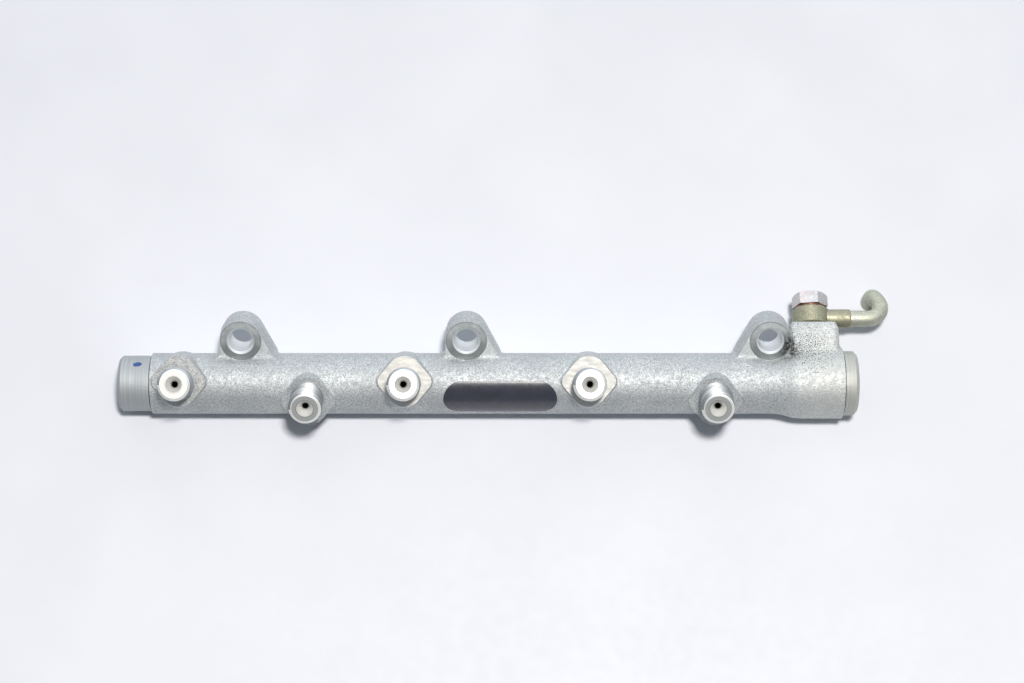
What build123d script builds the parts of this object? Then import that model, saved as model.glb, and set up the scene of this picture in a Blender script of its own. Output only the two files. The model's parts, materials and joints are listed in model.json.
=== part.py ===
from build123d import *
from math import atan2, cos, degrees, radians, sin, tan
import os

os.makedirs("parts", exist_ok=True)

# High-pressure fuel rail: one forged steel body with five screwed connectors, three bolting
# lugs and a return connection held by a hollow bolt.
#
# Millimetres, +Z up. The rail's axis is X. Stations are measured along it from the turned
# shoulder at the sensor end, which holds the origin. A clock angle turns about X, from +Z
# towards +Y. The rail lies on a bench as it would come to rest.

# ---- barrel
barrel_radius = 12.75
sensor_land_radius = 11.65
sensor_land_length = 13.6
sensor_land_chamfer = 1.2
head_radius = 14.8
head_station = 272.3
head_ramp = 13.4
valve_shoulder_station = 288.7
valve_land_radius = 13.5
valve_land_length = 6.1
valve_land_chamfer = 1.4

# ---- drillings and end ports, thread holes at their minor diameter
main_bore_radius = 5.0
sensor_port_radius = 8.2
sensor_port_depth = 18.0
valve_port_radius = 9.2
valve_port_depth = 27.0
port_chamfer = 0.9
port_seat_angle = 60.0

# ---- connectors, threaded M14 outside, in (station, clock angle) pairs
outlet_clock = -20.0
lower_clock = -40.0
connectors = [
    (12.4, outlet_clock),
    (65.8, lower_clock),
    (106.0, outlet_clock),
    (182.4, outlet_clock),
    (234.9, lower_clock),
]
pad_distance = 14.0
pad_half_length = 12.3
pad_half_width = 14.7
pad_end_fillet = 3.7
pad_side_fillet = 7.5
pad_draft = 8.0
outlet_pad_offset = 1.0
lower_pad_offset = -2.7
pad_foot_depth = 4.0
pad_foot_taper = 45.0
pad_blend = 1.0
connector_radius = 6.9
connector_length = 15.2
connector_chamfer = 1.2
relief_radius = 6.0
relief_length = 1.8
relief_slope = 0.9
cone_rim_radius = 3.4
cone_angle = 60.0
outlet_drill_radius = 1.3

# ---- bolting lugs, in (station, side that the web spreads to) pairs
lug_clock = lower_clock
lugs = [(37.5, 1), (131.5, 1), (258.0, -1)]
lug_radius = 9.1
lug_reach = 19.9
lug_face_distance = 2.75
lug_thickness = 13.5
lug_hole_radius = 4.9
lug_hole_chamfer = 0.9
lug_draft = 4.0
lug_web_length = 14.5
lug_web_level = 11.5
lug_blend = 2.5
spot_face_radius = 8.7

# ---- return block
bolt_clock = 90.0
bolt_station = 277.1
block_length = 21.0
block_width = 22.0
block_edge_fillet = 2.6
block_blend = 3.0
seat_distance = 24.0
seat_bevel_height = 2.4
seat_bevel_width = 1.3

# ---- hollow bolt, M8, with its two sealing washers
bolt_thread_radius = 4.0
bolt_thread_depth = 9.0
bolt_thread_gap = 0.02
bolt_neck_radius = 3.3
bolt_drill_radius = 1.5
bolt_cross_drill_radius = 1.2
bolt_tip_chamfer = 0.8
hex_across_flats = 13.0
hex_height = 5.3
hex_turn = -10.0
hex_chamfer_angle = 30.0
washer_radius = 6.6
washer_thickness = 1.0
washer_gap = 0.15

# ---- banjo eye and return pipe
eye_radius = 7.6
eye_height = 8.0
eye_bore_gap = 0.35
eye_edge_chamfer = 0.7
stub_radius = 3.95
stub_reach = 16.8
stub_edge_chamfer = 0.4
pipe_radius = 3.45
pipe_wall = 0.9
pipe_socket_depth = 7.0
pipe_socket_gap = 0.03
pipe_corner_reach = 33.4
pipe_lean = 6.0
pipe_rise = 12.5
pipe_dip = 4.0
pipe_first_bend = 6.0
pipe_second_bend = 6.5

# ---- film label on the barrel
label_station = 145.6
label_clock = -50.0
label_length = 47.3
label_height = 14.6
label_thickness = 0.2

# ---- places worked out from the sizes above
rail_start = -sensor_land_length
rail_end = valve_shoulder_station + valve_land_length
tip_distance = pad_distance + connector_length
inner_washer_seat = seat_distance
eye_seat = inner_washer_seat + washer_thickness
eye_middle = eye_seat + eye_height / 2
outer_washer_seat = eye_seat + eye_height
hex_seat = outer_washer_seat + washer_thickness
bolt_tip = seat_distance - bolt_thread_depth
# the pipe's hose end reaches down to the bench that the head lies on
pipe_tail = head_radius - pipe_dip


def radial(clock):
    """Unit vector outwards from the rail's axis at a clock angle."""
    return Vector(0, sin(radians(clock)), cos(radians(clock)))


def face_plane(station, clock, distance):
    """Plane square to a radial line: local x runs along the rail, local z outwards."""
    return Plane(
        origin=Vector(station, 0, 0) + radial(clock) * distance,
        x_dir=(1, 0, 0),
        z_dir=radial(clock),
    )


def turning_plane(station, clock):
    """Plane through the rail's axis and a radial line: local y runs outwards."""
    return Plane(
        origin=(station, 0, 0),
        x_dir=(1, 0, 0),
        z_dir=Vector(1, 0, 0).cross(radial(clock)),
    )


def radial_axis(station, clock):
    """Axis that runs outwards from the rail's axis."""
    return Axis((station, 0, 0), radial(clock))


def cone_depth(rim_radius, drill_radius, angle):
    """Depth of a cone of this included angle, from its rim to the drill at its point."""
    return (rim_radius - drill_radius) / tan(radians(angle / 2))


# ================================================================ forged forms of the rail body
# lozenge pads, drawn at their machined faces and drafted down to the die's parting plane
pad_forms = {}
for clock, offset in ((outlet_clock, outlet_pad_offset), (lower_clock, lower_pad_offset)):
    with BuildPart() as pad:
        with BuildSketch(Plane.XY.offset(pad_distance)) as pad_face:
            with BuildLine():
                Polyline(
                    (pad_half_length, offset),
                    (0, offset + pad_half_width),
                    (-pad_half_length, offset),
                    (0, offset - pad_half_width),
                    close=True,
                )
            make_face()
            fillet(pad_face.vertices().sort_by(Axis.Y)[0], pad_side_fillet)
            fillet(pad_face.vertices().sort_by(Axis.Y)[-1], pad_side_fillet)
            fillet(pad_face.vertices().sort_by(Axis.X)[0], pad_end_fillet)
            fillet(pad_face.vertices().sort_by(Axis.X)[-1], pad_end_fillet)
        extrude(amount=-pad_distance, taper=-pad_draft)
        extrude(faces().sort_by(Axis.Z)[0], amount=pad_foot_depth, taper=pad_foot_taper)
    pad_forms[clock] = pad.part

# bolting lug, drafted both ways from its mid-plane, with a web spread to one side
with BuildPart() as lug:
    web_centre = (lug_web_length - lug_radius) / 2
    for half in (lug_thickness / 2, -lug_thickness / 2):
        with BuildSketch(Plane.XY.offset(lug_face_distance - lug_thickness / 2)):
            with Locations((0, lug_reach)):
                Circle(lug_radius)
            with Locations((web_centre, lug_web_level / 2)):
                Rectangle(lug_web_length + lug_radius, lug_web_level)
            make_hull()
        extrude(amount=half, taper=lug_draft)

# ================================================================ rail body
with BuildPart() as rail_body:
    # turned and forged barrel, which swells into the valve head
    with BuildSketch(Plane.XZ):
        with BuildLine():
            ramp_start = (head_station - head_ramp, barrel_radius)
            ramp_end = (head_station, head_radius)
            ramp_middle = (head_station - head_ramp / 2, (barrel_radius + head_radius) / 2)
            Polyline(
                ramp_start,
                (0, barrel_radius),
                (0, sensor_land_radius),
                (rail_start + sensor_land_chamfer, sensor_land_radius),
                (rail_start, sensor_land_radius - sensor_land_chamfer),
                (rail_start, 0),
                (rail_end, 0),
                (rail_end, valve_land_radius - valve_land_chamfer),
                (rail_end - valve_land_chamfer, valve_land_radius),
                (valve_shoulder_station, valve_land_radius),
                (valve_shoulder_station, head_radius),
                ramp_end,
            )
            TangentArc(ramp_start, ramp_middle, tangent=(1, 0))
            TangentArc(ramp_end, ramp_middle, tangent=(-1, 0))
        make_face()
    revolve(axis=Axis.X)

    # return block, narrowed by a bevel round its seat
    bevel_start = seat_distance - seat_bevel_height
    bevel_angle = degrees(atan2(seat_bevel_width, seat_bevel_height))
    with BuildSketch(face_plane(bolt_station, bolt_clock, 0)):
        RectangleRounded(block_length, block_width, block_edge_fillet)
    extrude(amount=bevel_start)
    fillet(edges(Select.NEW), block_blend)
    with BuildSketch(face_plane(bolt_station, bolt_clock, bevel_start)):
        RectangleRounded(block_length, block_width, block_edge_fillet)
    extrude(amount=seat_bevel_height, taper=bevel_angle)

    # lugs, whose webs spread away from the end ports; the last one's other side runs into the block
    for station, web_side in lugs:
        with Locations(face_plane(station, lug_clock, 0)):
            add(lug.part if web_side > 0 else lug.part.mirror(Plane.YZ))
        roots = edges(Select.NEW)
        fillet(roots if web_side > 0 else roots.filter_by_position(Axis.X, 0, station), lug_blend)

    # pads
    for station, clock in connectors:
        with Locations(face_plane(station, clock, 0)):
            add(pad_forms[clock])
        fillet(edges(Select.NEW), pad_blend)

    # connectors, each turned with a thread relief at its foot and a bevelled tip
    for station, clock in connectors:
        with BuildSketch(turning_plane(station, clock)):
            with BuildLine():
                relief_end = pad_distance + relief_length
                Polyline(
                    (0, 0),
                    (relief_radius, 0),
                    (relief_radius, relief_end),
                    (connector_radius, relief_end + relief_slope),
                    (connector_radius, tip_distance - connector_chamfer),
                    (connector_radius - connector_chamfer, tip_distance),
                    (0, tip_distance),
                    close=True,
                )
            make_face()
        revolve(axis=radial_axis(station, clock))

    # spot faces and bolt holes of the lugs
    for station, web_side in lugs:
        with BuildSketch(face_plane(station, lug_clock, lug_face_distance)):
            with Locations((0, lug_reach)):
                Circle(spot_face_radius)
        extrude(amount=barrel_radius, mode=Mode.SUBTRACT)
        with Locations(face_plane(station, lug_clock, lug_face_distance)):
            with Locations((0, lug_reach)):
                Hole(lug_hole_radius)
        chamfer(edges(Select.LAST).filter_by(GeomType.CIRCLE), lug_hole_chamfer)

    # end ports, thread holes and the main drilling on one axis
    with BuildSketch(Plane.XZ):
        with BuildLine():
            sensor_seat = rail_start + sensor_port_depth
            sensor_cone = cone_depth(sensor_port_radius, main_bore_radius, port_seat_angle)
            valve_seat = rail_end - valve_port_depth
            valve_cone = cone_depth(valve_port_radius, main_bore_radius, port_seat_angle)
            Polyline(
                (rail_start, 0),
                (rail_start, sensor_port_radius + port_chamfer),
                (rail_start + port_chamfer, sensor_port_radius),
                (sensor_seat, sensor_port_radius),
                (sensor_seat + sensor_cone, main_bore_radius),
                (valve_seat - valve_cone, main_bore_radius),
                (valve_seat, valve_port_radius),
                (rail_end - port_chamfer, valve_port_radius),
                (rail_end, valve_port_radius + port_chamfer),
                (rail_end, 0),
                close=True,
            )
        make_face()
    revolve(axis=Axis.X, mode=Mode.SUBTRACT)

    # sealing cone and drilling of each connector, down to the main bore
    for station, clock in connectors:
        with BuildSketch(turning_plane(station, clock)):
            with BuildLine():
                cone_foot = tip_distance - cone_depth(cone_rim_radius, outlet_drill_radius, cone_angle)
                Polyline(
                    (0, 0),
                    (outlet_drill_radius, 0),
                    (outlet_drill_radius, cone_foot),
                    (cone_rim_radius, tip_distance),
                    (0, tip_distance),
                    close=True,
                )
            make_face()
        revolve(axis=radial_axis(station, clock), mode=Mode.SUBTRACT)

    # threaded drilling of the return block, into the valve port
    with BuildSketch(face_plane(bolt_station, bolt_clock, 0)):
        Circle(bolt_thread_radius + bolt_thread_gap)
    extrude(amount=seat_distance, mode=Mode.SUBTRACT)

rail_body.part.label = "rail_body"
export_step(rail_body.part, "parts/rail_body.step")

# ================================================================ hollow bolt
with BuildPart() as banjo_bolt:
    with BuildSketch(face_plane(bolt_station, bolt_clock, hex_seat)):
        RegularPolygon(hex_across_flats / 2, 6, major_radius=False, rotation=hex_turn)
    extrude(amount=hex_height)
    # the head's corners are turned off by a cone that leaves a round end face
    with BuildSketch(turning_plane(bolt_station, bolt_clock)):
        with BuildLine():
            head_top = hex_seat + hex_height
            end_radius = hex_across_flats / 2
            cone_foot_radius = hex_across_flats
            cone_drop = (cone_foot_radius - end_radius) * tan(radians(hex_chamfer_angle))
            Polyline(
                (0, hex_seat),
                (cone_foot_radius, hex_seat),
                (cone_foot_radius, head_top - cone_drop),
                (end_radius, head_top),
                (0, head_top),
                close=True,
            )
        make_face()
    revolve(axis=radial_axis(bolt_station, bolt_clock), mode=Mode.INTERSECT)
    # shank: thread in the block, a waist inside the eye for the fuel to pass
    with BuildSketch(turning_plane(bolt_station, bolt_clock)):
        with BuildLine():
            Polyline(
                (0, bolt_tip),
                (bolt_thread_radius - bolt_tip_chamfer, bolt_tip),
                (bolt_thread_radius, bolt_tip + bolt_tip_chamfer),
                (bolt_thread_radius, eye_seat),
                (bolt_neck_radius, eye_seat + washer_thickness),
                (bolt_neck_radius, outer_washer_seat - washer_thickness),
                (bolt_thread_radius, outer_washer_seat),
                (bolt_thread_radius, hex_seat),
                (0, hex_seat),
                close=True,
            )
        make_face()
    revolve(axis=radial_axis(bolt_station, bolt_clock))
    with BuildSketch(face_plane(bolt_station, bolt_clock, bolt_tip)):
        Circle(bolt_drill_radius)
    extrude(amount=eye_middle + bolt_drill_radius - bolt_tip, mode=Mode.SUBTRACT)
    with BuildSketch(Plane.YZ.offset(bolt_station)):
        with Locations((eye_middle, 0)):
            Circle(bolt_cross_drill_radius)
    extrude(amount=bolt_thread_radius, both=True, mode=Mode.SUBTRACT)

banjo_bolt.part.label = "banjo_bolt"
export_step(banjo_bolt.part, "parts/banjo_bolt.step")

# ================================================================ sealing washers
washer_seats = {"inner_seal_washer": inner_washer_seat, "outer_seal_washer": outer_washer_seat}
for washer_name, washer_seat in washer_seats.items():
    with BuildPart() as seal_washer:
        with BuildSketch(face_plane(bolt_station, bolt_clock, washer_seat)):
            Circle(washer_radius)
            Circle(bolt_thread_radius + washer_gap, mode=Mode.SUBTRACT)
        extrude(amount=washer_thickness)
    seal_washer.part.label = washer_name
    export_step(seal_washer.part, f"parts/{washer_name}.step")

# ================================================================ banjo eye
with BuildPart() as banjo_eye:
    with BuildSketch(face_plane(bolt_station, bolt_clock, eye_seat)):
        Circle(eye_radius)
    extrude(amount=eye_height)
    chamfer(edges().filter_by(GeomType.CIRCLE), eye_edge_chamfer)
    stub_plane = Plane(origin=(bolt_station, eye_middle, 0), z_dir=(1, 0, 0))
    with BuildSketch(stub_plane):
        Circle(stub_radius)
    extrude(amount=stub_reach)
    chamfer(faces().sort_by(Axis.X)[-1].edges(), stub_edge_chamfer)
    with BuildSketch(face_plane(bolt_station, bolt_clock, eye_seat)):
        Circle(bolt_thread_radius + eye_bore_gap)
    extrude(amount=eye_height, mode=Mode.SUBTRACT)
    with BuildSketch(stub_plane):
        Circle(pipe_radius - pipe_wall)
    extrude(amount=stub_reach, mode=Mode.SUBTRACT)
    with BuildSketch(stub_plane.offset(stub_reach - pipe_socket_depth)):
        Circle(pipe_radius + pipe_socket_gap)
    extrude(amount=pipe_socket_depth, mode=Mode.SUBTRACT)

banjo_eye.part.label = "banjo_eye"
export_step(banjo_eye.part, "parts/banjo_eye.step")

# ================================================================ return pipe
with BuildPart() as return_pipe:
    pipe_start = bolt_station + stub_reach - pipe_socket_depth
    corner_station = bolt_station + pipe_corner_reach
    with BuildLine() as pipe_path:
        FilletPolyline(
            (pipe_start, eye_middle, 0),
            (corner_station, eye_middle, 0),
            (corner_station - pipe_lean, eye_middle + pipe_rise, -pipe_dip),
            (corner_station - pipe_lean, eye_middle + pipe_rise, -pipe_dip - pipe_tail),
            radius=[pipe_first_bend, pipe_second_bend],
        )
    with BuildSketch(Plane(origin=(pipe_start, eye_middle, 0), z_dir=(1, 0, 0))):
        Circle(pipe_radius)
        Circle(pipe_radius - pipe_wall, mode=Mode.SUBTRACT)
    sweep()

return_pipe.part.label = "return_pipe"
export_step(return_pipe.part, "parts/return_pipe.step")

# ================================================================ film label
with BuildPart() as data_label:
    with BuildSketch(Plane.YZ.offset(label_station)):
        Circle(barrel_radius + label_thickness)
        Circle(barrel_radius, mode=Mode.SUBTRACT)
    extrude(amount=label_length / 2, both=True)
    with BuildSketch(face_plane(label_station, label_clock, 0)):
        SlotOverall(label_length, label_height)
    extrude(amount=barrel_radius + label_thickness, mode=Mode.INTERSECT)

data_label.part.label = "data_label"
export_step(data_label.part, "parts/data_label.step")
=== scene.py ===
import json
from math import atan2, cos, pi, radians, sin, tan

import bmesh
import bpy
from mathutils import Matrix, Vector


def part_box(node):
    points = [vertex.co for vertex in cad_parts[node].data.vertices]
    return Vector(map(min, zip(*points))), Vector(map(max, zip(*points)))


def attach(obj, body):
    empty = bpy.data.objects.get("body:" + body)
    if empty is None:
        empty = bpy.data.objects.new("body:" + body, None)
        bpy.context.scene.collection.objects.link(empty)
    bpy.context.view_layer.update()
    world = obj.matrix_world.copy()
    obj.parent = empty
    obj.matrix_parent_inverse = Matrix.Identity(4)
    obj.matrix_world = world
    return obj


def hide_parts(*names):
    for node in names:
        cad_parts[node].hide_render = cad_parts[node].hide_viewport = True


bl_info = {
    "name": "Fuel Rail",
    "version": (1, 0, 0),
    "blender": (4, 5, 0),
    "location": "3D View > Sidebar > Fuel Rail",
    "description": "Finishes a forged fuel rail, its screwed ends and its return fitting",
    "category": "Object",
}

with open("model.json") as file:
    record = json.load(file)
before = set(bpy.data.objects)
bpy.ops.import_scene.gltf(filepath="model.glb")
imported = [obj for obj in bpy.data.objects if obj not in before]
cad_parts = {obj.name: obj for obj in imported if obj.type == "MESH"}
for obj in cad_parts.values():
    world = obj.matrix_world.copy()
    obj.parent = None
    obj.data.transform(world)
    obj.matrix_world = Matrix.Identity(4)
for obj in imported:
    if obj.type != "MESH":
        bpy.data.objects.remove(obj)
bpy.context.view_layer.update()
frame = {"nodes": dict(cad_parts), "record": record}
MOUNTS = {mount["name"]: mount for mount in frame["record"]["mounts"]}

MM = 0.001
BODY = "root"
X_AXIS = Vector((1.0, 0.0, 0.0))


# ---------------------------------------------------------------- places that the frame fixes


def mounts_named(start):
    """The mounts whose names start so, each as a point and an axis."""
    return [
        (Vector(mount["pos_m"]), Vector(mount["axis"]).normalized())
        for name, mount in sorted(MOUNTS.items()) if name.startswith(start)
    ]


def mount_radius(name):
    """Radius of a mount's hole or pin."""
    return MOUNTS[name]["dims"]["r_mm"] * MM


CENTRE = Vector((0.0, 0.0, 0.0))
# each connector as the point where its axis meets the rail's, and that axis
CONNECTORS = [(Vector((place.x, 0.0, 0.0)), axis) for place, axis in mounts_named("connector_")]
LUG_HOLES = mounts_named("lug_hole_")
SENSOR_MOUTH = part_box("rail_body")[0][0]
VALVE_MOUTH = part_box("rail_body")[1][0]
CONNECTOR_RADIUS = mount_radius("connector_1")
SENSOR_PORT_RADIUS = mount_radius("sensor_port")
VALVE_PORT_RADIUS = mount_radius("valve_port")
LUG_HOLE_RADIUS = mount_radius("lug_hole_1")
BLOCK_AXIS_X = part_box("banjo_bolt")[0][0] / 2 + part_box("banjo_bolt")[1][0] / 2

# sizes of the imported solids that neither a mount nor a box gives
SENSOR_SHOULDER = 0.0
VALVE_SHOULDER = 288.7 * MM
HEAD_START = 262.0 * MM
BLOCK_HOLE_RADIUS = 4.02 * MM
BLOCK_FOOT = Vector((0.2745, 0.0120, 0.0110))
LUG_THICKNESS = 13.5 * MM
LUG_REACH = 24.0 * MM
PAD_HALF_WIDTH = 16.0 * MM
LAND_RADIUS = 11.65 * MM
BARREL_DROP = -12.75 * MM
HEAD_DROP = -14.8 * MM
HEAD_STATION = 272.3 * MM
PORT_BEVEL = 0.9 * MM
SENSOR_PORT_DEPTH = 18.0 * MM
VALVE_PORT_DEPTH = 27.0 * MM

# screw threads: where they start, how deep they are cut, and how far the plain walls are drawn back for them
THREAD_FOOT = 15.8 * MM
THREAD_DEPTH = 0.92 * MM
THREAD_STEPS = 48
SLEEVE_WALL = 0.6 * MM
CONNECTOR_CORE = 5.5 * MM
PORT_SINK = 1.1 * MM
SENSOR_THREAD_LENGTH = 14.5 * MM
VALVE_THREAD_LENGTH = 12.5 * MM

# a connector that leans more than this keeps a blasted pad, and pads nearer the sensor end are duller
UPRIGHT = 0.9
BRIGHT_PADS_FROM = 50 * MM

# width of the painted shade line at a shoulder's foot, and of the rings that a lathe leaves
SHOULDER_SHADE_WIDTH = 0.5 * MM
RING_WIDTH = 0.45 * MM

# painted shade with oil on a spot face, darkest towards the barrel: the patch's place from the face's middle,
# and its fading edge
SHADE_AND_OIL_OFFSET = Vector((0.0004, -0.0046, -0.0039))
SHADE_AND_OIL_CORE, SHADE_AND_OIL_EDGE = 7.0 * MM, 12.5 * MM

# specks on the block's foot: the distances between which they thin out, and how crowded they are
SPECKS_NEAR, SPECKS_FAR = 3 * MM, 22 * MM
SPECKS_CROWDED, SPECKS_SPARSE = 0.47, 0.24

# painted shade with grime between the last lug and the block: the middle and the reach of each patch
CORNER_SHADE_AND_GRIME_SPOTS = (
    (Vector((0.2668, 0.0100, 0.0104)), 6.0 * MM),
    (Vector((0.2650, 0.0135, 0.0135)), 6.0 * MM),
)

# how far towards its back wall the room starts and stops getting brighter
ROOM_FRONT, ROOM_BACK = -0.3, 0.95

# how near a face lies to a surface, and how squarely it faces an axis, to count as part of it
NEAR = 0.05 * MM
HAIR = 0.02 * MM
SQUARE_ON = 0.99

# corners nearer than these are joined, and a face turned by more than these angles makes an edge
WELD = 0.002 * MM
SPIN_WELD = 0.005 * MM
CUT = 0.0005 * MM
SHARP_ANGLE = radians(32)
EDGE_ANGLE = radians(25)
FLAT_ANGLE = radians(1)


# ---------------------------------------------------------------- sizes and colours


def srgb(code):
    """A hex sRGB colour as linear red, green and blue."""
    parts = [int(code[place:place + 2], 16) / 255 for place in (1, 3, 5)]
    return tuple(part / 12.92 if part <= 0.04045 else ((part + 0.055) / 1.055) ** 2.4 for part in parts)


def opaque(colour):
    """The same colour with full alpha, for a node's colour socket."""
    return (*colour, 1.0)


def size_property(name, description, millimetres):
    """A length that the user may change, kept in metres."""
    return bpy.props.FloatProperty(
        name=name, description=description, default=millimetres * MM, min=0.0, precision=5, unit="LENGTH"
    )


def angle_property(name, description, degrees):
    """An angle that the user may change, kept in radians."""
    return bpy.props.FloatProperty(
        name=name, description=description, default=radians(degrees), subtype="ANGLE"
    )


def place_property(name, description, metres):
    """A place that the user may change."""
    return bpy.props.FloatVectorProperty(
        name=name, description=description, default=metres, size=3, subtype="TRANSLATION", unit="LENGTH"
    )


def colour_property(name, description, code):
    """A colour that the user may change."""
    return bpy.props.FloatVectorProperty(
        name=name, description=description, default=srgb(code), size=3, min=0.0, max=1.0, subtype="COLOR"
    )


class RailSizes(bpy.types.PropertyGroup):
    """Sizes of the turned, threaded and painted details."""

    pad_height: size_property("Pad height", "From the rail's axis to the milled pads", 14.0)
    connector_reach: size_property("Connector reach", "From the rail's axis to a connector's end", 29.2)
    connector_bevel: size_property("Connector bevel", "Bevel at a connector's end", 1.2)
    connector_pitch: size_property("Connector pitch", "Thread pitch of the connectors", 1.5)
    cone_rim: size_property("Cone rim", "Radius of the sealing cone at a connector's end", 3.4)
    drill_radius: size_property("Connector drill", "Radius of the drilling through a connector", 1.3)
    port_pitch: size_property("Port pitch", "Thread pitch of the two end ports", 1.5)
    spot_radius: size_property("Spot face", "Radius of the spot faces round the bolt holes", 8.7)
    spot_depth: size_property("Spot face depth", "How deep the spot faces are cut", 3.0)
    hole_bevel: size_property("Hole bevel", "Bevel round the lugs' bolt holes", 0.95)
    seat_height: size_property("Return seat", "From the rail's axis to the seat of the return fitting", 24.0)
    grain: size_property("Blast grain", "Width of the dimples that the shot leaves", 0.56)
    edge_break: size_property("Broken edge", "Width of the broken edges on the small turned pieces", 0.22)
    paint_place: size_property("Paint place", "From the shoulder to the middle of the dab of paint", 5.55)
    paint_clock: angle_property("Paint bearing", "Turn of the dab round the rail, from straight up", 23.8)
    paint_length: size_property("Paint dab length", "Length of the inspector's dab of paint", 3.4)
    paint_width: size_property("Paint dab width", "Width of the inspector's dab of paint", 2.6)
    paint_thickness: size_property("Paint thickness", "Thickness of the dab of paint at its middle", 0.09)


class RailColours(bpy.types.PropertyGroup):
    """Colours of the finishes."""

    zinc: colour_property("Zinc", "Plating on the blasted forging", "#D1D4D4")
    zinc_shade: colour_property("Zinc in the dimples", "Plating where the blasting left it dull", "#9DA1A3")
    milled: colour_property("Milled steel", "Bright pads round the connectors", "#AFAFAB")
    turned: colour_property("Turned steel", "Turned land at the sensor end", "#B8BCBE")
    spot_face: colour_property("Spot face", "Oily machined faces round the bolt holes", "#CDD2D2")
    copper: colour_property("Copper", "Sealing washers", "#8A6454")
    chromate: colour_property("Yellow chromate", "Return eye", "#ABA894")
    olive: colour_property("Olive chromate", "Return pipe", "#C7C7B9")
    # the specks, and the painted shade in the corner between the last lug and the block, take this colour
    grime_and_shade: colour_property("Grime", "Oil and dust in the corners", "#1E1C19")
    label: colour_property("Label film", "Ground of the label", "#101022")
    paint: colour_property("Paint", "Inspector's dab", "#3A5CA6")


class StageSettings(bpy.types.PropertyGroup):
    """Bench, light and camera."""

    bench_width: size_property("Bench width", "Side of the square of bench that shows", 6000.0)
    bench: colour_property("Bench", "Pale board that the rail lies on", "#EBEFF7")
    lamp_height: size_property("Lamp height", "Height of the soft lamp over the bench", 1500.0)
    lamp_width: size_property("Lamp width", "Side of the soft lamp", 170.0)
    lamp_lean: angle_property("Lamp lean", "Lean of the lamp from straight overhead towards the camera", 7.5)
    lamp_side: angle_property("Lamp side", "Lean of the lamp towards the rail's thick end", 5.0)
    lamp_watts: bpy.props.FloatProperty(
        name="Lamp power", description="Power of the soft lamp", default=20.0, min=0.0, unit="POWER"
    )
    lamp_colour: colour_property("Lamp colour", "Slightly warm light of the lamp", "#FFFAF5")
    window: bpy.props.FloatProperty(
        name="Window side", description="Brightness of the room behind the rail", default=1.95, min=0.0
    )
    shade: bpy.props.FloatProperty(
        name="Shaded side", description="Brightness of the room before the rail", default=0.49, min=0.0
    )
    room_colour: colour_property("Room colour", "Slightly blue light of the room", "#F1F8FF")
    fill: bpy.props.FloatProperty(
        name="Fill", description="Share of the room's light that dull surfaces get",
        default=0.22, min=0.0, max=1.0,
    )
    lens: bpy.props.FloatProperty(
        name="Lens", description="Focal length on a 36 mm sensor", default=83.7, min=1.0, unit="CAMERA"
    )
    camera_place: place_property("Camera place", "Where the camera stands", (0.1505, -0.3255, 0.9457))
    camera_target: place_property("Camera target", "What the camera looks at", (0.1505, 0.0165, 0.0060))


def sizes():
    """The sizes set in the scene."""
    return bpy.context.scene.fuel_rail_sizes


def colours():
    """The colours set in the scene."""
    return bpy.context.scene.fuel_rail_colours


def stage_settings():
    """The stage settings of the scene."""
    return bpy.context.scene.fuel_rail_stage


# ---------------------------------------------------------------- meshes


def new_piece(name, shape, materials, angle=SHARP_ANGLE):
    """A finished bmesh as a piece of the rail, with its finish and its shading."""
    mesh = bpy.data.meshes.new(name)
    shape.to_mesh(mesh)
    shape.free()
    if not mesh.polygons:
        raise RuntimeError(f"{name} has no faces")
    # the normals that came with the CAD's loose triangles don't fit the joined mesh
    stale = mesh.attributes.get("custom_normal")
    if stale:
        mesh.attributes.remove(stale)
    for material in materials:
        mesh.materials.append(material)
    mesh.shade_smooth()
    mesh.set_sharp_from_angle(angle=angle)
    piece = bpy.data.objects.new(name, mesh)
    bpy.context.scene.collection.objects.link(piece)
    weighted = piece.modifiers.new("Even shading", "WEIGHTED_NORMAL")
    weighted.keep_sharp = True
    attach(piece, BODY)
    return piece


def merged_copy(node):
    """The mesh of a CAD node with its loose triangles joined, as a bmesh."""
    shape = bmesh.new()
    shape.from_mesh(frame["nodes"][node].data)
    bmesh.ops.remove_doubles(shape, verts=shape.verts, dist=WELD)
    return shape


def cut_across(shape, place, side, clear_outer=False):
    """Cuts a mesh by a plane, and may clear what lies on its outer side."""
    bmesh.ops.bisect_plane(
        shape, geom=shape.verts[:] + shape.edges[:] + shape.faces[:], dist=CUT,
        plane_co=place, plane_no=side, clear_outer=clear_outer,
    )


def radial(point, start, axis):
    """How far a point lies along an axis, and how far from it."""
    offset = point - start
    along = offset.dot(axis)
    return along, (offset - axis * along).length


def set_radius(vert, start, axis, radius):
    """Moves a corner straight in or out to a radius round an axis."""
    along, out = radial(vert.co, start, axis)
    centre = start + axis * along
    vert.co = centre + (vert.co - centre) * (radius / out)


def turned_map(shape, lathe_axes):
    """A UV map whose U runs along each face's lathe axis and whose V runs out from it, in metres."""
    layer = shape.loops.layers.uv.new("turned")
    for face, (start, axis) in zip(shape.faces, lathe_axes):
        for loop in face.loops:
            loop[layer].uv = radial(loop.vert.co, start, axis)


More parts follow.
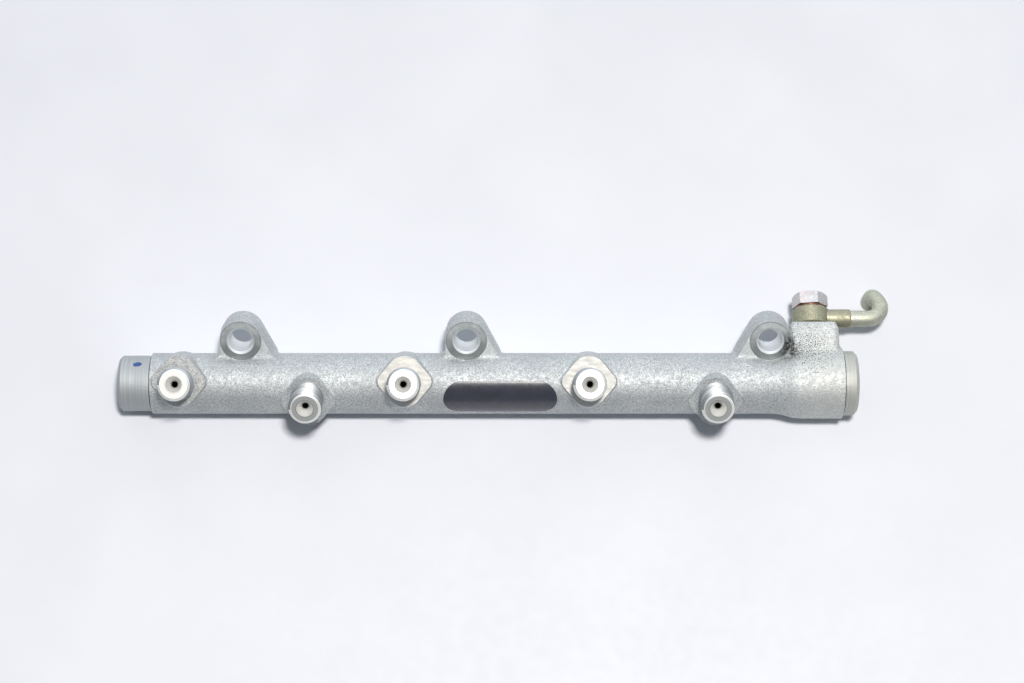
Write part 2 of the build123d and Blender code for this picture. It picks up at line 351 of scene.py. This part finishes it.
def threaded_sleeve(start, axis, length, root, crest, pitch, near_bevel, far_bevel):
    """A screw thread along an axis, as a closed sleeve. The crest of an inner thread is nearer the axis."""
    outward = 1 if crest > root else -1
    back = root - outward * SLEEVE_WALL
    across = axis.orthogonal().normalized()
    # one turn of the thread: shares of the pitch where a flank starts or ends
    profile = ((0.06, root), (0.44, crest), (0.56, crest), (0.94, root))
    shape = bmesh.new()
    # the row starts and ends outside the sleeve, and both ends are cut off square
    row = [
        shape.verts.new(start + axis * ((turn - 2 + share) * pitch) + across * radius)
        for turn in range(int(length / pitch) + 4)
        for share, radius in profile
    ]
    edges = [shape.edges.new(pair) for pair in zip(row, row[1:])]
    bmesh.ops.spin(
        shape, geom=row + edges, cent=start, axis=axis, dvec=axis * (pitch / THREAD_STEPS),
        angle=2 * pi, steps=THREAD_STEPS,
    )
    bmesh.ops.remove_doubles(shape, verts=shape.verts, dist=SPIN_WELD)
    cut_across(shape, start, -axis, clear_outer=True)
    cut_across(shape, start + axis * length, axis, clear_outer=True)
    for vert in shape.verts:
        along, out = radial(vert.co, start, axis)
        bevel = max(near_bevel - along, far_bevel - (length - along), 0.0)
        limit = crest - outward * bevel
        if outward * (out - limit) > 0:
            set_radius(vert, start, axis, limit)
    rims = [edge for edge in shape.edges if edge.is_boundary]
    moved = bmesh.ops.extrude_edge_only(shape, edges=rims)["geom"]
    for vert in (item for item in moved if isinstance(item, bmesh.types.BMVert)):
        set_radius(vert, start, axis, back)
    bmesh.ops.bridge_loops(shape, edges=[edge for edge in shape.edges if edge.is_boundary])
    bmesh.ops.remove_doubles(shape, verts=shape.verts, dist=WELD)
    bmesh.ops.recalc_face_normals(shape, faces=shape.faces)
    return shape


# ---------------------------------------------------------------- finishes


def set_inputs(tree, node, values):
    """Puts each value on the input of that name or number, and links it if it is another node's output."""
    for place, value in values.items():
        if isinstance(value, bpy.types.NodeSocket):
            tree.links.new(value, node.inputs[place])
        else:
            node.inputs[place].default_value = value


def add_node(tree, kind, values, output=0, **settings):
    """Adds a node with its settings and inputs, and gives the output of that name or number."""
    node = tree.nodes.new(kind)
    for setting, choice in settings.items():
        setattr(node, setting, choice)
    set_inputs(tree, node, values)
    return node.outputs[output]


def start_material(name, turned=False, stretch=(1.0, 1.0, 1.0)):
    """A new material, its shader, and where its patterns lie: in the object, or round a lathe's axis."""
    material = bpy.data.materials.new(name)
    material.use_nodes = True
    tree = material.node_tree
    if turned:
        place = add_node(tree, "ShaderNodeUVMap", {}, uv_map="turned")
    else:
        place = add_node(tree, "ShaderNodeTexCoord", {}, "Object")
    spread = add_node(tree, "ShaderNodeMapping", {"Vector": place, "Scale": stretch})
    return material, tree, tree.nodes["Principled BSDF"], spread


def mottle(tree, place, width, low, high, detail=2.0):
    """Noise whose patches are about this wide, spread from one value to another."""
    pattern = add_node(tree, "ShaderNodeTexNoise", {"Vector": place, "Scale": 1 / width, "Detail": detail})
    # most of the noise lies between 0.35 and 0.65
    return add_node(
        tree, "ShaderNodeMapRange",
        {"Value": pattern, "From Min": 0.35, "From Max": 0.65, "To Min": low, "To Max": high},
    )


def grained_metal(
    name, light, dark, grain, depth, roughness, metallic=1.0, cloud=14 * MM, turned=False,
    stretch=(1.0, 1.0, 1.0),
):
    """A metal whose grain varies its colour, gloss and relief, with faint wider clouds over it."""
    material, tree, shader, place = start_material(name, turned, stretch)
    fine = mottle(tree, place, grain, 0.0, 1.0)
    wide = mottle(tree, place, cloud, 0.0, 0.35)
    colour = add_node(tree, "ShaderNodeMix", {0: fine, 6: opaque(light), 7: opaque(dark)}, 2, data_type="RGBA")
    colour = add_node(tree, "ShaderNodeMix", {0: wide, 6: colour, 7: opaque(dark)}, 2, data_type="RGBA")
    set_inputs(tree, shader, {
        "Base Color": colour,
        "Roughness": mottle(tree, place, 3 * grain, *roughness),
        "Metallic": metallic,
        "Normal": add_node(tree, "ShaderNodeBump", {"Height": fine, "Distance": depth, "Strength": 1.0}),
    })
    return material, tree, shader, place, colour


def add_corner_shade_and_grime(tree, place, colour):
    """Painted shade with patchy grime, in the corner between the last lug and the block."""
    grime_and_shade = opaque(colours().grime_and_shade)
    for corner, reach in CORNER_SHADE_AND_GRIME_SPOTS:
        offset = add_node(tree, "ShaderNodeVectorMath", {0: place, 1: corner}, "Value", operation="DISTANCE")
        # darkest at each patch's middle: painted shade, broken up like grime
        near = add_node(
            tree, "ShaderNodeMapRange",
            {"Value": offset, "From Min": 0.3 * reach, "From Max": reach, "To Min": 0.9, "To Max": 0.0},
        )
        patchy = mottle(tree, place, 1.2 * MM, 0.2, 1.0, detail=4.0)
        share = add_node(tree, "ShaderNodeMath", {0: near, 1: patchy}, operation="MULTIPLY")
        colour = add_node(tree, "ShaderNodeMix", {0: share, 6: colour, 7: grime_and_shade}, 2, data_type="RGBA")
    return colour


def blasted_zinc():
    """Zinc on a drop forging that was blasted with shot: silver-grey, dull and evenly grained."""
    tone = colours()
    material, tree, shader, place, colour = grained_metal(
        "blasted zinc on forged steel", tone.zinc, tone.zinc_shade, grain=sizes().grain, depth=0.05 * MM,
        roughness=(0.56, 0.72), metallic=0.75,
    )
    # the end that carries the return fitting is oily: a little yellower, and full of black specks
    along = add_node(tree, "ShaderNodeSeparateXYZ", {"Vector": place}, "X")
    oily = add_node(
        tree, "ShaderNodeMapRange",
        {"Value": along, "From Min": HEAD_START, "From Max": BLOCK_AXIS_X, "To Min": 0.0, "To Max": 0.32},
    )
    yellow = opaque(srgb("#D8D7CF"))
    colour = add_node(tree, "ShaderNodeMix", {0: oily, 6: colour, 7: yellow}, 2, data_type="RGBA")
    # the specks crowd at the block's foot
    foot = add_node(tree, "ShaderNodeVectorMath", {0: place, 1: BLOCK_FOOT}, "Value", operation="DISTANCE")
    level = add_node(
        tree, "ShaderNodeMapRange",
        {
            "Value": foot, "From Min": SPECKS_NEAR, "From Max": SPECKS_FAR,
            "To Min": SPECKS_CROWDED, "To Max": SPECKS_SPARSE,
        },
    )
    pits = add_node(tree, "ShaderNodeTexNoise", {"Vector": place, "Scale": 1 / (0.5 * MM), "Detail": 1.0})
    below = add_node(tree, "ShaderNodeMath", {0: level, 1: pits}, operation="SUBTRACT")
    specks = add_node(tree, "ShaderNodeMapRange", {"Value": below, "From Max": 0.06, "To Max": 0.8})
    colour = add_node(
        tree, "ShaderNodeMix", {0: specks, 6: colour, 7: opaque(tone.grime_and_shade)}, 2, data_type="RGBA"
    )
    set_inputs(tree, shader, {"Base Color": add_corner_shade_and_grime(tree, place, colour)})
    return material


def milled_pad():
    """Steel milled flat after the blasting, then plated: pale, with fine straight tool lines."""
    return grained_metal(
        "milled and plated steel", colours().milled, srgb("#A7A7A3"), grain=0.4 * MM, depth=0.004 * MM,
        roughness=(0.52, 0.62), stretch=(0.3, 1.0, 1.0),
    )[0]


def dull_pad():
    """Blasted steel that handling has dulled: mid grey, with a soft grain."""
    return grained_metal(
        "blasted and dulled steel", srgb("#BDBEBD"), srgb("#949695"), grain=sizes().grain, depth=0.03 * MM,
        roughness=(0.6, 0.75),
    )[0]


def turned_steel(name, light, dark, roughness, metallic=1.0):
    """Steel turned on a lathe: fine rings that follow the lathe's axis and catch the light."""
    # the real feed is about 0.1 mm, too fine to show, so the rings are drawn wider
    return grained_metal(
        name, light, dark, grain=RING_WIDTH, depth=0.005 * MM, roughness=roughness, metallic=metallic,
        cloud=6 * MM, turned=True,
    )[0]


def least(tree, values):
    """The least of several values."""
    smallest = values[0]
    for value in values[1:]:
        smallest = add_node(tree, "ShaderNodeMath", {0: smallest, 1: value}, operation="MINIMUM")
    return smallest


def shaded_oily_spot_face():
    """A machined face dulled by oil and dust: grey, with painted shade and oil darkest towards the barrel, and a
    painted dark ring of shade at its edge.
    """
    material, tree, shader, place, colour = grained_metal(
        "oily machined face with painted shade", srgb("#F3F5F4"), srgb("#D0D3D3"), grain=sizes().grain, depth=0.02 * MM,
        roughness=(0.42, 0.6), metallic=0.8,
    )
    from_shade_and_oil_patches, from_axes = [], []
    for middle, axis in LUG_HOLES:
        shade_and_oil = middle + axis * LUG_THICKNESS / 2 + SHADE_AND_OIL_OFFSET
        from_shade_and_oil_patches.append(
            add_node(tree, "ShaderNodeVectorMath", {0: place, 1: shade_and_oil}, "Value", operation="DISTANCE")
        )
        offset = add_node(tree, "ShaderNodeVectorMath", {0: place, 1: middle}, operation="SUBTRACT")
        lever = add_node(tree, "ShaderNodeVectorMath", {0: offset, 1: axis}, operation="CROSS_PRODUCT")
        from_axes.append(add_node(tree, "ShaderNodeVectorMath", {0: lever}, "Value", operation="LENGTH"))
    from_shade_and_oil, from_axis = least(tree, from_shade_and_oil_patches), least(tree, from_axes)
    patches = mottle(tree, place, 4 * MM, 0.0, 0.7, detail=4.0)
    stain = add_node(
        tree, "ShaderNodeMix", {0: patches, 6: opaque(colours().spot_face), 7: opaque(srgb("#969A9A"))}, 2,
        data_type="RGBA",
    )
    # painted shade with oil towards the barrel, then a painted dark ring of shade at the face's edge, and clean
    # metal outside it
    edge = sizes().spot_radius
    for distance, start, end, low, high, tint in (
        (from_shade_and_oil, SHADE_AND_OIL_CORE, SHADE_AND_OIL_EDGE, 0.85, 0.0, opaque(srgb("#686C6E"))),
        (from_axis, edge - 0.9 * MM, edge - 0.3 * MM, 0.0, 0.6, opaque(srgb("#5E6263"))),
        (from_axis, edge - 0.25 * MM, edge + 0.1 * MM, 0.15, 1.0, colour),
    ):
        share = add_node(
            tree, "ShaderNodeMapRange",
            {"Value": distance, "From Min": start, "From Max": end, "To Min": low, "To Max": high},
        )
        stain = add_node(tree, "ShaderNodeMix", {0: share, 6: stain, 7: tint}, 2, data_type="RGBA")
    set_inputs(tree, shader, {"Base Color": add_corner_shade_and_grime(tree, place, stain)})
    return material


def oiled_bore():
    """Drilled steel under a film of oil: dark grey, with a wet shine."""
    return grained_metal(
        "oiled drilled steel", srgb("#8A8A86"), srgb("#4E4E4B"), grain=0.7 * MM, depth=0.02 * MM,
        roughness=(0.25, 0.5), turned=True,
    )[0]


def copper_washer():
    """Soft copper, dulled brown-red."""
    return grained_metal(
        "dulled copper", colours().copper, srgb("#5E4238"), grain=0.5 * MM, depth=0.01 * MM, roughness=(0.3, 0.5)
    )[0]


def yellow_chromate(name, light, dark):
    """Zinc with a yellow chromate: olive and straw tones in soft clouds, half dull."""
    material, tree, shader, place, colour = grained_metal(
        name, light, dark, grain=0.5 * MM, depth=0.012 * MM, roughness=(0.48, 0.64), cloud=4 * MM
    )
    clouds, straw = mottle(tree, place, 7 * MM, 0.0, 0.5, detail=1.0), opaque(srgb("#A19F8B"))
    colour = add_node(tree, "ShaderNodeMix", {0: clouds, 6: colour, 7: straw}, 2, data_type="RGBA")
    set_inputs(tree, shader, {"Base Color": colour})
    return material


def hex_plating():
    """Bright zinc with a thin clear chromate: silver with faint pink patches."""
    material, tree, shader, place, colour = grained_metal(
        "clear chromated zinc", srgb("#D0D0CF"), srgb("#B2B2B3"), grain=0.5 * MM, depth=0.004 * MM,
        roughness=(0.3, 0.42),
    )
    patches, pink = mottle(tree, place, 6 * MM, 0.0, 0.3, detail=1.0), opaque(srgb("#D9B9B4"))
    colour = add_node(tree, "ShaderNodeMix", {0: patches, 6: colour, 7: pink}, 2, data_type="RGBA")
    set_inputs(tree, shader, {"Base Color": colour})
    return material


def glossy_film():
    """Polyester film under a clear gloss coat: blue-black, smooth and shiny."""
    material, tree, shader, place = start_material("gloss polyester film")
    shade = mottle(tree, place, 6 * MM, 0.0, 1.0)
    ground, paler = opaque(colours().label), opaque(srgb("#1B1B2D"))
    dents = mottle(tree, place, 1.5 * MM, 0.0, 1.0)
    set_inputs(tree, shader, {
        "Base Color": add_node(tree, "ShaderNodeMix", {0: shade, 6: ground, 7: paler}, 2, data_type="RGBA"),
        "Roughness": mottle(tree, place, 2 * MM, 0.26, 0.34),
        "IOR": 1.58,
        "Coat Weight": 1.0,
        "Coat Roughness": 0.25,
        "Normal": add_node(tree, "ShaderNodeBump", {"Height": dents, "Distance": 0.01 * MM, "Strength": 1.0}),
    })
    return material


def marking_paint():
    """Thick marking paint dabbed on by hand: blue enamel, half gloss, uneven."""
    material, tree, shader, place = start_material("marking paint")
    shade = mottle(tree, place, 0.8 * MM, 0.0, 1.0)
    thick, thin = opaque(colours().paint), opaque(srgb("#24407F"))
    set_inputs(tree, shader, {
        "Base Color": add_node(tree, "ShaderNodeMix", {0: shade, 6: thick, 7: thin}, 2, data_type="RGBA"),
        "Roughness": mottle(tree, place, 0.6 * MM, 0.3, 0.5),
        "Normal": add_node(tree, "ShaderNodeBump", {"Height": shade, "Distance": 0.03 * MM, "Strength": 1.0}),
    })
    return material


def pale_board():
    """A pale laminated board: nearly white, with a faint cool mottle and a dull sheen."""
    material, tree, shader, place = start_material("pale laminate")
    shade = mottle(tree, place, 60 * MM, 0.0, 1.0)
    pale, cooler = opaque(stage_settings().bench), opaque(srgb("#E7EBF3"))
    set_inputs(tree, shader, {
        "Base Color": add_node(tree, "ShaderNodeMix", {0: shade, 6: pale, 7: cooler}, 2, data_type="RGBA"),
        "Roughness": mottle(tree, place, 5 * MM, 0.5, 0.6),
    })
    return material


# ---------------------------------------------------------------- the forging's finishes


(
    FORGING, PAD, DULL_PAD, COLLAR, WARM_COLLAR, CONNECTOR,
    END_RING, CONE, SPOT_FACE, HOLE, BORE, SHOULDER_SHADE,
) = range(12)
BRIGHT_ZINC = (srgb("#BCBFC1"), srgb("#7E8183"))


def forging_finishes():
    """The finish of each zone of the forging."""
    return {
        FORGING: blasted_zinc(),
        PAD: milled_pad(),
        DULL_PAD: dull_pad(),
        # the sensor end's land: cool grey, with a soft sheen
        COLLAR: turned_steel("turned steel", colours().turned, srgb("#9EA2A4"), (0.58, 0.7), 0.7),
        # the valve end's land: a little yellower
        WARM_COLLAR: turned_steel(
            "turned plated steel", srgb("#C9CAC4"), srgb("#A8A9A4"), (0.58, 0.7), 0.7
        ),
        # the connectors' plain feet: bright streaks on darker grey
        CONNECTOR: turned_steel("brushed zinc", *BRIGHT_ZINC, (0.38, 0.52)),
        # the connectors' flat ends: pale and even
        END_RING: turned_steel("faced steel", srgb("#CDCDCA"), srgb("#ACACA8"), (0.42, 0.56)),
        # the sealing cones: nearly white
        CONE: turned_steel("reamed cone", srgb("#F2F2EF"), srgb("#D6D6D2"), (0.4, 0.55), 0.3),
        SPOT_FACE: shaded_oily_spot_face(),
        # the bolt holes' walls: bright, with a clear sheen
        HOLE: turned_steel("drilled plated steel", srgb("#F0F4F5"), srgb("#CDD2D4"), (0.35, 0.5), 0.6),
        BORE: oiled_bore(),
        # the foot of each shoulder: a thin dark line of painted shade
        SHOULDER_SHADE: turned_steel("painted shade at a shoulder's foot", srgb("#454746"), srgb("#2C2D2C"), (0.5, 0.65)),
    }


def connector_zone(centre, normal, start, axis):
    """The finish of a face on or round a connector, or None where it belongs to the forging."""
    size = sizes()
    along, out = radial(centre, start, axis)
    if along < 0 or out > PAD_HALF_WIDTH:
        return None
    if out < size.cone_rim:
        cone = size.pad_height < along < size.connector_reach and out > size.drill_radius + NEAR
        return CONE if cone else BORE
    if along < size.pad_height - NEAR:
        return None
    if along < size.pad_height + NEAR:
        if normal.dot(axis) < SQUARE_ON or axis.z < UPRIGHT:
            return None
        return PAD if start.x > BRIGHT_PADS_FROM else DULL_PAD
    if along > size.connector_reach - NEAR:
        return END_RING
    return CONNECTOR if out < CONNECTOR_RADIUS + NEAR else None


def lug_zone(centre, normal, middle, axis):
    """The finish of a face on a lug's machined parts, or None."""
    size = sizes()
    along, out = radial(centre, middle, axis)
    half = LUG_THICKNESS / 2
    if abs(along - half) < NEAR and normal.dot(axis) > SQUARE_ON and out < LUG_REACH:
        return SPOT_FACE
    if abs(along) > half + size.spot_depth or out > size.spot_radius + NEAR:
        return None
    if out < LUG_HOLE_RADIUS + size.hole_bevel and abs(normal.dot(axis)) < SQUARE_ON:
        return HOLE
    return SPOT_FACE if along > half - NEAR else None


def body_zone(centre, normal):
    """The finish of a face away from the connectors and the lugs."""
    along, out = radial(centre, CENTRE, X_AXIS)
    faces_axis = normal.y * centre.y + normal.z * centre.z < 0
    if out < VALVE_PORT_RADIUS + PORT_SINK + NEAR and (faces_axis or abs(normal.x) < SQUARE_ON):
        return BORE
    # a thin ring at each shoulder's foot gets painted shade
    if along < SENSOR_SHOULDER + HAIR:
        return SHOULDER_SHADE if SENSOR_SHOULDER - SHOULDER_SHADE_WIDTH < along < SENSOR_SHOULDER - HAIR else COLLAR
    if along > VALVE_SHOULDER - HAIR:
        return SHOULDER_SHADE if VALVE_SHOULDER + HAIR < along < VALVE_SHOULDER + SHOULDER_SHADE_WIDTH else WARM_COLLAR
    if centre.y > sizes().seat_height - NEAR and normal.y > SQUARE_ON:
        return DULL_PAD
    from_block_axis = Vector((along - BLOCK_AXIS_X, centre.z)).length
    if centre.y > 0 and from_block_axis < BLOCK_HOLE_RADIUS + NEAR:
        return BORE
    return FORGING


def zone_and_axis(face):
    """The finish of a face, and the lathe's axis that its tool marks follow."""
    centre, normal = face.calc_center_median(), face.normal
    for start, axis in CONNECTORS:
        zone = connector_zone(centre, normal, start, axis)
        if zone is not None:
            return zone, start, axis
    for middle, axis in LUG_HOLES:
        zone = lug_zone(centre, normal, middle, axis)
        if zone is not None:
            return zone, middle, axis
    return body_zone(centre, normal), CENTRE, X_AXIS


def sink_walls(shape):
    """Draws the plain walls of the screwed ends back, so that threaded sleeves stand on them."""
    size = sizes()
    sensor_end = SENSOR_MOUTH + SENSOR_PORT_DEPTH + NEAR
    valve_end = VALVE_MOUTH - VALVE_PORT_DEPTH - NEAR
    for vert in shape.verts:
        for start, axis in CONNECTORS:
            along, out = radial(vert.co, start, axis)
            screwed = THREAD_FOOT + NEAR < along < size.connector_reach + NEAR
            if screwed and size.cone_rim + PORT_SINK < out < CONNECTOR_RADIUS + NEAR:
                set_radius(vert, start, axis, CONNECTOR_CORE)
        along, out = radial(vert.co, CENTRE, X_AXIS)
        if along < sensor_end and abs(out - SENSOR_PORT_RADIUS) < PORT_BEVEL + NEAR:
            set_radius(vert, CENTRE, X_AXIS, SENSOR_PORT_RADIUS + PORT_SINK)
        if along > valve_end and abs(out - VALVE_PORT_RADIUS) < PORT_BEVEL + NEAR:
            set_radius(vert, CENTRE, X_AXIS, VALVE_PORT_RADIUS + PORT_SINK)


class FUELRAIL_OT_forging(bpy.types.Operator):
    """The forged rail with its milled, turned and drilled faces"""

    bl_idname = "fuel_rail.forging"
    bl_label = "Forging"

    def execute(self, context):
        shape = merged_copy("rail_body")
        # the mesh is cut where the painted shade line at each shoulder's foot ends
        for place in (SENSOR_SHOULDER - SHOULDER_SHADE_WIDTH, VALVE_SHOULDER + SHOULDER_SHADE_WIDTH):
            cut_across(shape, X_AXIS * place, X_AXIS)
        found = [zone_and_axis(face) for face in shape.faces]
        for face, (zone, _, _) in zip(shape.faces, found):
            face.material_index = zone
        turned_map(shape, [(start, axis) for _, start, axis in found])
        sink_walls(shape)
        finishes = forging_finishes()
        piece = new_piece("rail_forging", shape, [finishes[zone] for zone in sorted(finishes)])
        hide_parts("rail_body")
        return {"FINISHED"}


class FUELRAIL_OT_threads(bpy.types.Operator):
    """Screw threads on the connectors and in the end ports"""

    bl_idname = "fuel_rail.threads"
    bl_label = "Screw threads"

    def execute(self, context):
        size = sizes()
        # rolled crests catch the light as pale lines on grey
        rolled = turned_steel("rolled zinc thread", *BRIGHT_ZINC, (0.42, 0.56))
        # the bevel at a connector's end shines nearly white
        bevelled = turned_steel("bevelled zinc thread", srgb("#F6F6F2"), srgb("#DDDDD8"), (0.4, 0.55), 0.7)
        # oil leaves the ports' threads dark, with a wet shine
        oiled = turned_steel("oiled thread", srgb("#7C7D7A"), srgb("#343432"), (0.25, 0.45))
        for number, (start, axis) in enumerate(CONNECTORS, 1):
            foot = start + axis * THREAD_FOOT
            length = size.connector_reach - THREAD_FOOT - HAIR
            shape = threaded_sleeve(
                foot, axis, length, CONNECTOR_RADIUS - THREAD_DEPTH, CONNECTOR_RADIUS, size.connector_pitch,
                PORT_BEVEL, size.connector_bevel,
            )
            turned_map(shape, [(foot, axis)] * len(shape.faces))
            for face in shape.faces:
                along = radial(face.calc_center_median(), foot, axis)[0]
                face.material_index = int(along > length - size.connector_bevel)
            new_piece(f"connector_thread_{number}", shape, [rolled, bevelled])
        ports = (
            ("sensor_port_thread", SENSOR_MOUTH + HAIR, X_AXIS, SENSOR_THREAD_LENGTH, SENSOR_PORT_RADIUS),
            ("valve_port_thread", VALVE_MOUTH - HAIR, -X_AXIS, VALVE_THREAD_LENGTH, VALVE_PORT_RADIUS),
        )
        for name, mouth, axis, length, crest in ports:
            start = X_AXIS * mouth
            shape = threaded_sleeve(
                start, axis, length, crest + THREAD_DEPTH, crest, size.port_pitch, PORT_BEVEL, PORT_BEVEL
            )
            turned_map(shape, [(start, axis)] * len(shape.faces))
            new_piece(name, shape, [oiled])
        return {"FINISHED"}


class FUELRAIL_OT_return_fitting(bpy.types.Operator):
    """The hollow bolt, its copper washers, the return eye and its pipe"""

    bl_idname = "fuel_rail.return_fitting"
    bl_label = "Return fitting"

    def execute(self, context):
        tone = colours()
        copper = copper_washer()
        parts = (
            ("return_bolt", "banjo_bolt", "plated_bolt", hex_plating()),
            ("inner_copper_washer", "inner_seal_washer", "copper", copper),
            ("outer_copper_washer", "outer_seal_washer", "copper", copper),
            (
                "return_eye", "banjo_eye", "chromated_steel",
                yellow_chromate("yellow chromated steel", tone.chromate, srgb("#827E69")),
            ),
        )
        for name, node, slot, material in parts:
            shape = merged_copy(node)
            bmesh.ops.dissolve_limit(shape, angle_limit=FLAT_ANGLE, verts=shape.verts, edges=shape.edges)
            sharp = [
                edge for edge in shape.edges if edge.is_manifold and edge.calc_face_angle(0.0) > EDGE_ANGLE
            ]
            bmesh.ops.bevel(
                shape, geom=sharp, offset=sizes().edge_break, offset_type="OFFSET", affect="EDGES", segments=2,
                profile=0.5, material=-1, clamp_overlap=True,
            )
            piece = new_piece(name, shape, [material])
            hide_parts(node)
        pipe = frame["nodes"]["return_pipe"]
        olive = yellow_chromate("olive chromated pipe", tone.olive, srgb("#9FA194"))
        pipe.material_slots[0].material = olive
        return {"FINISHED"}


class FUELRAIL_OT_markings(bpy.types.Operator):
    """The bare glossy label and the inspector's dab of paint"""

    bl_idname = "fuel_rail.markings"
    bl_label = "Label and paint"

    def execute(self, context):
        size = sizes()
        frame["nodes"]["data_label"].material_slots[0].material = glossy_film()
        shape = bmesh.new()
        bmesh.ops.create_uvsphere(shape, u_segments=36, v_segments=16, radius=1.0)
        for vert in shape.verts:
            bearing = atan2(vert.co.y, vert.co.x)
            # a brush leaves the outline uneven
            wobble = 1.0 + 0.09 * sin(2 * bearing + 0.6) + 0.06 * sin(5 * bearing)
            across = vert.co.y * wobble * size.paint_width / 2
            clock = size.paint_clock + across / LAND_RADIUS
            out = LAND_RADIUS + vert.co.z * size.paint_thickness
            along = SENSOR_SHOULDER - size.paint_place + vert.co.x * wobble * size.paint_length / 2
            vert.co = Vector((along, out * sin(clock), out * cos(clock)))
        bmesh.ops.recalc_face_normals(shape, faces=shape.faces)
        new_piece("paint_dab", shape, [marking_paint()], angle=pi)
        return {"FINISHED"}


# ---------------------------------------------------------------- the stage


def lay_bench(stage):
    """The board that the rail lies on."""
    shape = bmesh.new()
    bmesh.ops.create_grid(shape, x_segments=8, y_segments=8, size=stage.bench_width / 2)
    # the rail lies on its barrel at one end and on its thicker head at the other
    lean = atan2(BARREL_DROP - HEAD_DROP, HEAD_STATION)
    bmesh.ops.rotate(shape, verts=shape.verts, cent=CENTRE, matrix=Matrix.Rotation(lean, 3, "Y"))
    bmesh.ops.translate(shape, verts=shape.verts, vec=Vector((0.0, 0.0, BARREL_DROP)))
    mesh = bpy.data.meshes.new("bench")
    shape.to_mesh(mesh)
    shape.free()
    mesh.materials.append(pale_board())
    bench = bpy.data.objects.new("bench", mesh)
    bpy.context.scene.collection.objects.link(bench)


def aim(name, data, place, target):
    """A lamp or a camera at a place, turned to its target."""
    item = bpy.data.objects.new(name, data)
    item.location = place
    item.rotation_euler = (target - item.location).to_track_quat("-Z", "Y").to_euler()
    bpy.context.scene.collection.objects.link(item)
    return item


def light_room(stage):
    """A plain pale room that is bright behind the rail and dimmer before it."""
    world = bpy.data.worlds.new("pale_room")
    world.use_nodes = True
    tree = world.node_tree
    way = add_node(tree, "ShaderNodeTexCoord", {}, "Generated")
    depth = add_node(tree, "ShaderNodeSeparateXYZ", {"Vector": way}, "Y")
    room = add_node(
        tree, "ShaderNodeMapRange",
        {
            "Value": depth, "From Min": ROOM_FRONT, "From Max": ROOM_BACK,
            "To Min": stage.shade, "To Max": stage.window,
        },
    )
    # a dull surface gets little of the room, so that the lamp's shadows stay crisp
    dull = add_node(tree, "ShaderNodeLightPath", {}, "Is Diffuse Ray")
    share = add_node(tree, "ShaderNodeMapRange", {"Value": dull, "To Min": 1.0, "To Max": stage.fill})
    strength = add_node(tree, "ShaderNodeMath", {0: room, 1: share}, operation="MULTIPLY")
    set_inputs(tree, tree.nodes["Background"], {"Color": opaque(stage.room_colour), "Strength": strength})
    bpy.context.scene.world = world


class FUELRAIL_OT_stage(bpy.types.Operator):
    """Bench, soft lamp, room light and camera"""

    bl_idname = "fuel_rail.stage"
    bl_label = "Bench and light"

    def execute(self, context):
        stage = stage_settings()
        target = Vector(stage.camera_target)
        lay_bench(stage)

        lamp = bpy.data.lights.new("soft_lamp", "AREA")
        lamp.shape = "SQUARE"
        lamp.size = stage.lamp_width
        lamp.energy = stage.lamp_watts
        lamp.color = stage.lamp_colour
        towards_lamp = Vector((tan(stage.lamp_side), -tan(stage.lamp_lean), 1.0))
        aim("soft_lamp", lamp, target + towards_lamp * stage.lamp_height, target)
        light_room(stage)

        camera = bpy.data.cameras.new("camera")
        camera.lens = stage.lens
        camera.sensor_width = 36.0
        camera.clip_start = 0.01
        context.scene.camera = aim("camera", camera, stage.camera_place, target)
        context.scene.view_settings.view_transform = "Standard"
        return {"FINISHED"}


class FUELRAIL_PT_panel(bpy.types.Panel):
    """The rail's sizes, colours and steps"""

    bl_idname = "FUELRAIL_PT_panel"
    bl_label = "Fuel Rail"
    bl_space_type = "VIEW_3D"
    bl_region_type = "UI"
    bl_category = "Fuel Rail"

    def draw(self, context):
        layout = self.layout
        for operator in OPERATORS:
            layout.operator(operator.bl_idname)
        for group in (sizes(), colours(), stage_settings()):
            box = layout.box()
            for name in group.bl_rna.properties.keys():
                if name not in ("rna_type", "name"):
                    box.prop(group, name)


OPERATORS = (
    FUELRAIL_OT_forging,
    FUELRAIL_OT_threads,
    FUELRAIL_OT_return_fitting,
    FUELRAIL_OT_markings,
    FUELRAIL_OT_stage,
)
CLASSES = (RailSizes, RailColours, StageSettings, *OPERATORS, FUELRAIL_PT_panel)


def register():
    for item in CLASSES:
        bpy.utils.register_class(item)
    bpy.types.Scene.fuel_rail_sizes = bpy.props.PointerProperty(type=RailSizes)
    bpy.types.Scene.fuel_rail_colours = bpy.props.PointerProperty(type=RailColours)
    bpy.types.Scene.fuel_rail_stage = bpy.props.PointerProperty(type=StageSettings)


def unregister():
    del bpy.types.Scene.fuel_rail_sizes
    del bpy.types.Scene.fuel_rail_colours
    del bpy.types.Scene.fuel_rail_stage
    for item in reversed(CLASSES):
        bpy.utils.unregister_class(item)


def main():
    register()
    bpy.ops.fuel_rail.forging()
    bpy.ops.fuel_rail.threads()
    bpy.ops.fuel_rail.return_fitting()
    bpy.ops.fuel_rail.markings()
    bpy.ops.fuel_rail.stage()


if __name__ == "__main__":
    main()
